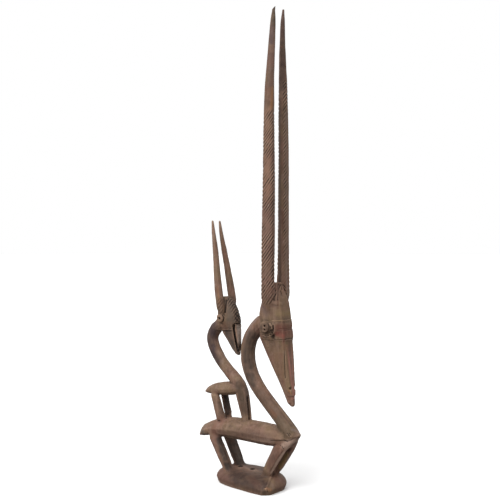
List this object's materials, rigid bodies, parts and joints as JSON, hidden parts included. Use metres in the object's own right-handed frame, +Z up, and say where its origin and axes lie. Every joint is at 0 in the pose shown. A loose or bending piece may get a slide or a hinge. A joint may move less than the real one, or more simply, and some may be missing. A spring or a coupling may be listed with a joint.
{
  "type": "chiwara headdress",
  "caption": "Carved wooden headdress crest: a small antelope stands on the back of a large one with long upright hatched horns, cut with its plinth from solid wood.",
  "frame": {"origin": "centre of the plinth's underside, on the floor", "axes": "+X is the way both antelopes face, +Y is their left and +Z is up, along the horns"},
  "size_m": [0.2538, 0.0895, 0.916],
  "materials": {
    "carved_wood": "hand-carved, dark worn patina with dusty and reddish patches"
  },
  "bodies": {
    "root": {"headdress": "carved_wood"}
  },
  "joints": []
}
